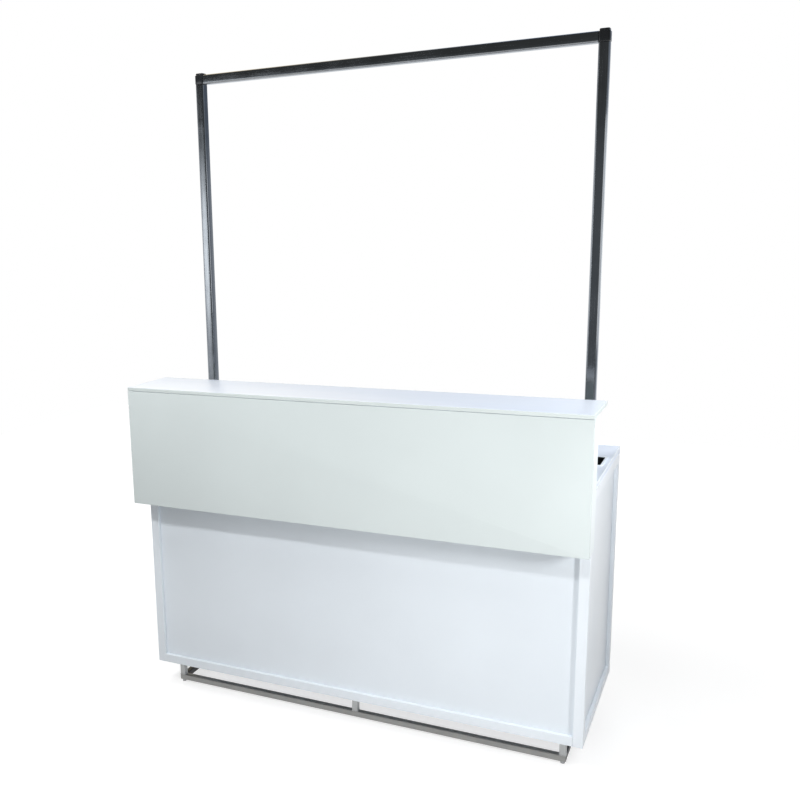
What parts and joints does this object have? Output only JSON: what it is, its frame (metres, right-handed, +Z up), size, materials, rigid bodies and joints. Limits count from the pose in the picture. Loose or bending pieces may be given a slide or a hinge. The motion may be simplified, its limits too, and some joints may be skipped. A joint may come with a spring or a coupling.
{
  "type": "exhibition counter",
  "caption": "White exhibition counter on a square-tube base, with a raised bar front, sliding rear doors and a tall header frame that lifts out of the worktop.",
  "frame": {"origin": "on the floor, under the middle of the counter's outline, which runs from the fascia's front to the cabinet's rear", "axes": "+X to the customer's right as they face the counter, +Y from the customer's side to the staff side, +Z up"},
  "size_m": [1.516, 0.633, 2.167],
  "materials": {
    "white_profile": "white powder coat, satin",
    "white_board": "white laminate on board, satin",
    "white_panel": "white composite panel, semi-gloss",
    "white_plastic": "white moulded or extruded plastic",
    "black_plastic": "black moulded plastic",
    "base_steel": "brushed steel tube",
    "header_steel": "polished dark steel tube",
    "chrome_trim": "polished chrome"
  },
  "bodies": {
    "cabinet": {"base_rail_front": "base_steel", "base_rail_rear": "base_steel", "base_rail_left": "base_steel", "base_rail_right": "base_steel", "base_post_front_left": "base_steel", "base_post_front_middle": "base_steel", "base_post_front_right": "base_steel", "base_post_rear_left": "base_steel", "base_post_rear_middle": "base_steel", "base_post_rear_right": "base_steel", "corner_post_front_left": "white_profile", "corner_post_front_right": "white_profile", "corner_post_rear_left": "white_profile", "corner_post_rear_right": "white_profile", "rail_front_bottom": "white_profile", "rail_front_top": "white_profile", "rail_rear_bottom": "white_profile", "rail_rear_top": "white_profile", "rail_left_bottom": "white_profile", "rail_left_top": "white_profile", "rail_right_bottom": "white_profile", "rail_right_top": "white_profile", "front_panel": "white_panel", "side_panel_left": "white_panel", "side_panel_right": "white_panel", "floor_panel": "white_board", "inner_shelf": "white_board", "shelf_cleat_left": "white_profile", "shelf_cleat_right": "white_profile", "worktop": "white_board", "slot_collar_left": "white_plastic", "slot_collar_right": "white_plastic", "door_track_lower": "white_plastic", "door_track_upper": "white_plastic", "fascia_panel": "white_board", "fascia_return_left": "white_board", "fascia_return_right": "white_board", "bar_shelf": "white_board", "bar_gable_left": "white_board", "bar_gable_centre": "white_board", "bar_gable_right": "white_board", "header_socket_left": "base_steel", "header_socket_right": "base_steel"},
    "header": {"header_post_left": "header_steel", "header_post_right": "header_steel", "header_top_bar": "header_steel", "header_corner_left": "black_plastic", "header_corner_right": "black_plastic"},
    "rear_door_left": {"rear_door_left": "white_board", "door_pull_left": "chrome_trim", "door_lock_ring": "chrome_trim"},
    "rear_door_right": {"rear_door_right": "white_board", "door_pull_right": "chrome_trim"},
    "door_lock_cylinder": {"door_lock_cylinder": "chrome_trim"},
    "clamp_knob_left": {"clamp_knob_left": "black_plastic"},
    "clamp_knob_right": {"clamp_knob_right": "black_plastic"},
    "foot_front_left": {"foot_front_left": "black_plastic"},
    "foot_front_right": {"foot_front_right": "black_plastic"},
    "foot_rear_left": {"foot_rear_left": "black_plastic"},
    "foot_rear_right": {"foot_rear_right": "black_plastic"}
  },
  "joints": [
    {"name": "header_lift", "type": "slide", "parent": "cabinet", "child": "header", "axis": [0, 0, 1], "range_m": [0, 0.3]},
    {"name": "rear_door_left_slide", "type": "slide", "parent": "cabinet", "child": "rear_door_left", "axis": [1, 0, 0], "range_m": [0, 0.699]},
    {"name": "rear_door_right_slide", "type": "slide", "parent": "cabinet", "child": "rear_door_right", "axis": [1, 0, 0], "range_m": [-0.699, 0]},
    {"name": "door_lock_turn", "type": "hinge", "parent": "rear_door_left", "child": "door_lock_cylinder", "pos_m": [-0.01, 0.311, 0.48215], "axis": [0, 1, 0], "range_deg": [0, 90]},
    {"name": "clamp_knob_left_turn", "type": "hinge", "parent": "cabinet", "child": "clamp_knob_left", "pos_m": [-0.6795, 0.085, 0.83], "axis": [0, -1, 0], "range_deg": [0, 360]},
    {"name": "clamp_knob_right_turn", "type": "hinge", "parent": "cabinet", "child": "clamp_knob_right", "pos_m": [0.6795, 0.085, 0.83], "axis": [0, -1, 0], "range_deg": [0, 360]},
    {"name": "foot_front_left_turn", "type": "hinge", "parent": "cabinet", "child": "foot_front_left", "pos_m": [-0.684, -0.1735, 0], "axis": [0, 0, 1], "range_deg": [-360, 360]},
    {"name": "foot_front_right_turn", "type": "hinge", "parent": "cabinet", "child": "foot_front_right", "pos_m": [0.684, -0.1735, 0], "axis": [0, 0, 1], "range_deg": [-360, 360]},
    {"name": "foot_rear_left_turn", "type": "hinge", "parent": "cabinet", "child": "foot_rear_left", "pos_m": [-0.684, 0.2505, 0], "axis": [0, 0, 1], "range_deg": [-360, 360]},
    {"name": "foot_rear_right_turn", "type": "hinge", "parent": "cabinet", "child": "foot_rear_right", "pos_m": [0.684, 0.2505, 0], "axis": [0, 0, 1], "range_deg": [-360, 360]}
  ]
}
